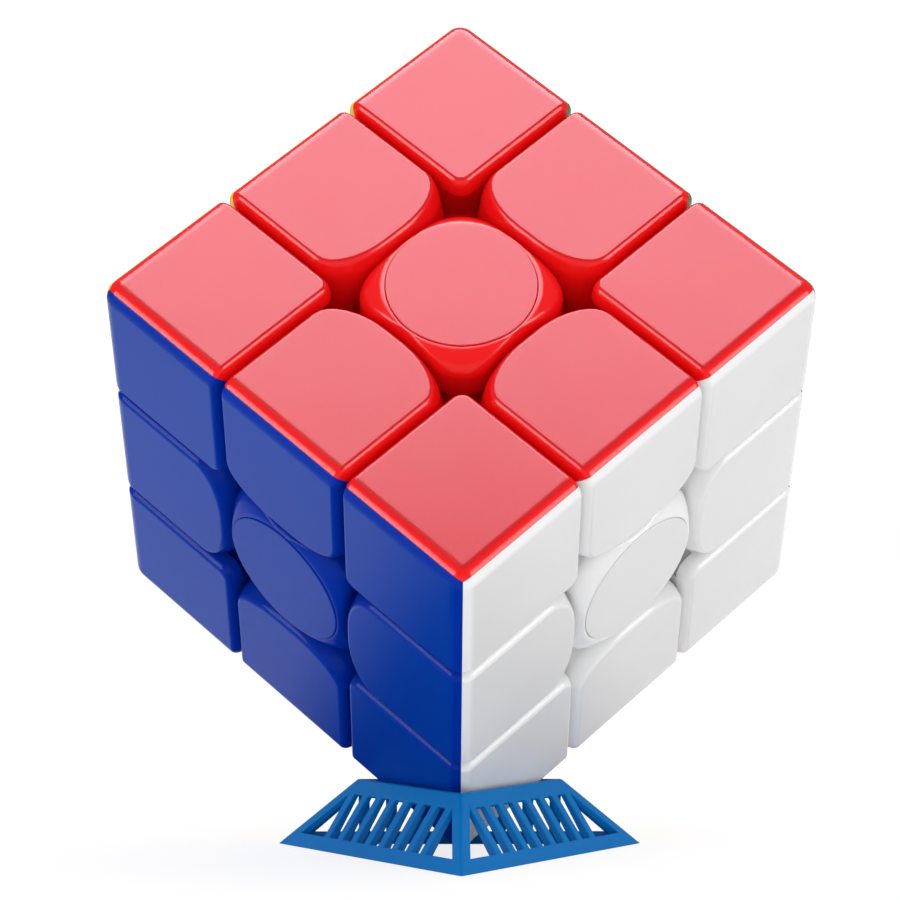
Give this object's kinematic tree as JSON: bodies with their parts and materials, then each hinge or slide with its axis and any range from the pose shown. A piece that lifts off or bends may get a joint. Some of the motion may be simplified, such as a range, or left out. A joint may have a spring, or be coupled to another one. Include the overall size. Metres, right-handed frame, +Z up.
{
  "type": "twisty puzzle cube",
  "caption": "Stickerless twisty puzzle cube with layers that turn about a sprung inner core, standing on one corner in a small triangular open-work stand.",
  "frame": {"origin": "on the floor, at the middle of the stand's triangular foot, under the cube's body diagonal", "axes": "+Z up along the cube's body diagonal, +Y away from the camera, so that a vertical cube edge faces -Y; +X to the right"},
  "size_m": [0.0776, 0.0886, 0.095],
  "materials": {
    "green": "glossy moulded ABS, coloured through",
    "yellow": "glossy moulded ABS, coloured through",
    "red": "glossy moulded ABS, coloured through",
    "blue": "glossy moulded ABS, coloured through",
    "white": "glossy moulded ABS, coloured through",
    "orange": "glossy moulded ABS, coloured through",
    "inner_plastic": "semi-matt moulded nylon",
    "steel": "bright zinc plated",
    "stand_blue": "satin moulded plastic"
  },
  "bodies": {
    "stand": {"stand": "stand_blue"},
    "core": {"core": "inner_plastic", "centre_screw_green": "steel", "centre_screw_yellow": "steel", "centre_screw_red": "steel", "centre_screw_blue": "steel", "centre_screw_white": "steel", "centre_screw_orange": "steel", "centre_spring_green": "steel", "centre_spring_yellow": "steel", "centre_spring_red": "steel", "centre_spring_blue": "steel", "centre_spring_white": "steel", "centre_spring_orange": "steel"},
    "centre_green": {"centre_body_green": "green", "centre_cap_green": "green"},
    "centre_yellow": {"centre_body_yellow": "yellow", "centre_cap_yellow": "yellow"},
    "centre_red": {"centre_body_red": "red", "centre_cap_red": "red"},
    "centre_blue": {"centre_body_blue": "blue", "centre_cap_blue": "blue"},
    "centre_white": {"centre_body_white": "white", "centre_cap_white": "white"},
    "centre_orange": {"centre_body_orange": "orange", "centre_cap_orange": "orange"},
    "edge_green_yellow": {"edge_shell_green_by_yellow": "green", "edge_shell_yellow_by_green": "yellow"},
    "edge_green_red": {"edge_shell_red_by_green": "red", "edge_shell_green_by_red": "green"},
    "edge_green_white": {"edge_shell_green_by_white": "green", "edge_shell_white_by_green": "white"},
    "edge_green_orange": {"edge_shell_orange_by_green": "orange", "edge_shell_green_by_orange": "green"},
    "edge_yellow_red": {"edge_shell_yellow_by_red": "yellow", "edge_shell_red_by_yellow": "red"},
    "edge_yellow_blue": {"edge_shell_blue_by_yellow": "blue", "edge_shell_yellow_by_blue": "yellow"},
    "edge_yellow_orange": {"edge_shell_yellow_by_orange": "yellow", "edge_shell_orange_by_yellow": "orange"},
    "edge_red_blue": {"edge_shell_red_by_blue": "red", "edge_shell_blue_by_red": "blue"},
    "edge_red_white": {"edge_shell_white_by_red": "white", "edge_shell_red_by_white": "red"},
    "edge_blue_white": {"edge_shell_blue_by_white": "blue", "edge_shell_white_by_blue": "white"},
    "edge_blue_orange": {"edge_shell_orange_by_blue": "orange", "edge_shell_blue_by_orange": "blue"},
    "edge_white_orange": {"edge_shell_white_by_orange": "white", "edge_shell_orange_by_white": "orange"},
    "corner_green_yellow_red": {"corner_green_yellow_red": "green"},
    "corner_green_red_white": {"corner_green_red_white": "green"},
    "corner_green_white_orange": {"corner_green_white_orange": "green"},
    "corner_green_orange_yellow": {"corner_green_orange_yellow": "green"},
    "corner_yellow_blue_red": {"corner_yellow_blue_red": "yellow"},
    "corner_yellow_orange_blue": {"corner_yellow_orange_blue": "yellow"},
    "corner_red_blue_white": {"corner_red_blue_white": "red"},
    "corner_blue_orange_white": {"corner_blue_orange_white": "blue"}
  },
  "joints": [
    {"name": "cube_lifts_off_stand", "type": "slide", "parent": "stand", "child": "corner_blue_orange_white", "axis": [0, 0, 1], "range_m": [0, 0.06]},
    {"name": "turn_green", "type": "hinge", "parent": "core", "child": "centre_green", "pos_m": [0, 0, 0.048], "axis": [0.7071, 0.4082, 0.5774], "continuous": true},
    {"name": "turn_yellow", "type": "hinge", "parent": "core", "child": "centre_yellow", "pos_m": [0, 0, 0.048], "axis": [-0.7071, 0.4082, 0.5774], "continuous": true},
    {"name": "turn_red", "type": "hinge", "parent": "core", "child": "centre_red", "pos_m": [0, 0, 0.048], "axis": [0, -0.8165, 0.5774], "continuous": true},
    {"name": "turn_blue", "type": "hinge", "parent": "core", "child": "centre_blue", "pos_m": [0, 0, 0.048], "axis": [-0.7071, -0.4082, -0.5774], "continuous": true},
    {"name": "turn_white", "type": "hinge", "parent": "core", "child": "centre_white", "pos_m": [0, 0, 0.048], "axis": [0.7071, -0.4082, -0.5774], "continuous": true},
    {"name": "turn_orange", "type": "hinge", "parent": "centre_orange", "child": "core", "pos_m": [0, 0, 0.048], "axis": [0, -0.8165, 0.5774], "continuous": true},
    {"name": "edge_green_yellow_with_yellow", "type": "hinge", "parent": "centre_green", "child": "edge_green_yellow", "pos_m": [0, 0, 0.048], "axis": [-0.7071, 0.4082, 0.5774], "continuous": true},
    {"name": "edge_green_red_with_green", "type": "hinge", "parent": "centre_red", "child": "edge_green_red", "pos_m": [0, 0, 0.048], "axis": [0.7071, 0.4082, 0.5774], "continuous": true},
    {"name": "edge_green_white_with_white", "type": "hinge", "parent": "centre_green", "child": "edge_green_white", "pos_m": [0, 0, 0.048], "axis": [0.7071, -0.4082, -0.5774], "continuous": true},
    {"name": "edge_green_orange_with_green", "type": "hinge", "parent": "centre_orange", "child": "edge_green_orange", "pos_m": [0, 0, 0.048], "axis": [0.7071, 0.4082, 0.5774], "continuous": true},
    {"name": "edge_yellow_red_with_red", "type": "hinge", "parent": "centre_yellow", "child": "edge_yellow_red", "pos_m": [0, 0, 0.048], "axis": [0, -0.8165, 0.5774], "continuous": true},
    {"name": "edge_yellow_blue_with_yellow", "type": "hinge", "parent": "centre_blue", "child": "edge_yellow_blue", "pos_m": [0, 0, 0.048], "axis": [-0.7071, 0.4082, 0.5774], "continuous": true},
    {"name": "edge_yellow_orange_with_orange", "type": "hinge", "parent": "centre_yellow", "child": "edge_yellow_orange", "pos_m": [0, 0, 0.048], "axis": [0, 0.8165, -0.5774], "continuous": true},
    {"name": "edge_red_blue_with_blue", "type": "hinge", "parent": "centre_red", "child": "edge_red_blue", "pos_m": [0, 0, 0.048], "axis": [-0.7071, -0.4082, -0.5774], "continuous": true},
    {"name": "edge_red_white_with_red", "type": "hinge", "parent": "centre_white", "child": "edge_red_white", "pos_m": [0, 0, 0.048], "axis": [0, -0.8165, 0.5774], "continuous": true},
    {"name": "edge_blue_white_with_white", "type": "hinge", "parent": "centre_blue", "child": "edge_blue_white", "pos_m": [0, 0, 0.048], "axis": [0.7071, -0.4082, -0.5774], "continuous": true},
    {"name": "edge_blue_orange_with_blue", "type": "hinge", "parent": "edge_blue_orange", "child": "centre_orange", "pos_m": [0, 0, 0.048], "axis": [0.7071, 0.4082, 0.5774], "continuous": true},
    {"name": "edge_white_orange_with_orange", "type": "hinge", "parent": "centre_white", "child": "edge_white_orange", "pos_m": [0, 0, 0.048], "axis": [0, 0.8165, -0.5774], "continuous": true},
    {"name": "corner_green_yellow_red_with_green", "type": "hinge", "parent": "edge_yellow_red", "child": "corner_green_yellow_red", "pos_m": [0, 0, 0.048], "axis": [0.7071, 0.4082, 0.5774], "continuous": true},
    {"name": "corner_green_orange_yellow_with_green", "type": "hinge", "parent": "edge_yellow_orange", "child": "corner_green_orange_yellow", "pos_m": [0, 0, 0.048], "axis": [0.7071, 0.4082, 0.5774], "continuous": true},
    {"name": "corner_green_red_white_with_green", "type": "hinge", "parent": "edge_red_white", "child": "corner_green_red_white", "pos_m": [0, 0, 0.048], "axis": [0.7071, 0.4082, 0.5774], "continuous": true},
    {"name": "corner_green_white_orange_with_green", "type": "hinge", "parent": "edge_white_orange", "child": "corner_green_white_orange", "pos_m": [0, 0, 0.048], "axis": [0.7071, 0.4082, 0.5774], "continuous": true},
    {"name": "corner_yellow_blue_red_with_yellow", "type": "hinge", "parent": "edge_red_blue", "child": "corner_yellow_blue_red", "pos_m": [0, 0, 0.048], "axis": [-0.7071, 0.4082, 0.5774], "continuous": true},
    {"name": "corner_yellow_orange_blue_with_orange", "type": "hinge", "parent": "edge_yellow_blue", "child": "corner_yellow_orange_blue", "pos_m": [0, 0, 0.048], "axis": [0, 0.8165, -0.5774], "continuous": true},
    {"name": "corner_red_blue_white_with_red", "type": "hinge", "parent": "edge_blue_white", "child": "corner_red_blue_white", "pos_m": [0, 0, 0.048], "axis": [0, -0.8165, 0.5774], "continuous": true},
    {"name": "corner_blue_orange_white_with_white", "type": "hinge", "parent": "corner_blue_orange_white", "child": "edge_blue_orange", "pos_m": [0, 0, 0.048], "axis": [-0.7071, 0.4082, 0.5774], "continuous": true}
  ],
  "couplings": [
    {"joint": "edge_green_yellow_with_yellow", "follows": "turn_yellow", "ratio": 1},
    {"joint": "edge_green_red_with_green", "follows": "turn_green", "ratio": 1},
    {"joint": "edge_green_white_with_white", "follows": "turn_white", "ratio": 1},
    {"joint": "edge_green_orange_with_green", "follows": "turn_green", "ratio": 1},
    {"joint": "edge_yellow_red_with_red", "follows": "turn_red", "ratio": 1},
    {"joint": "edge_yellow_blue_with_yellow", "follows": "turn_yellow", "ratio": 1},
    {"joint": "edge_yellow_orange_with_orange", "follows": "turn_orange", "ratio": 1},
    {"joint": "edge_red_blue_with_blue", "follows": "turn_blue", "ratio": 1},
    {"joint": "edge_red_white_with_red", "follows": "turn_red", "ratio": 1},
    {"joint": "edge_blue_white_with_white", "follows": "turn_white", "ratio": 1},
    {"joint": "edge_blue_orange_with_blue", "follows": "turn_blue", "ratio": 1},
    {"joint": "edge_white_orange_with_orange", "follows": "turn_orange", "ratio": 1},
    {"joint": "corner_green_yellow_red_with_green", "follows": "turn_green", "ratio": 1},
    {"joint": "corner_green_orange_yellow_with_green", "follows": "turn_green", "ratio": 1},
    {"joint": "corner_green_red_white_with_green", "follows": "turn_green", "ratio": 1},
    {"joint": "corner_green_white_orange_with_green", "follows": "turn_green", "ratio": 1},
    {"joint": "corner_yellow_blue_red_with_yellow", "follows": "turn_yellow", "ratio": 1},
    {"joint": "corner_yellow_orange_blue_with_orange", "follows": "turn_orange", "ratio": 1},
    {"joint": "corner_red_blue_white_with_red", "follows": "turn_red", "ratio": 1},
    {"joint": "corner_blue_orange_white_with_white", "follows": "turn_white", "ratio": 1}
  ]
}
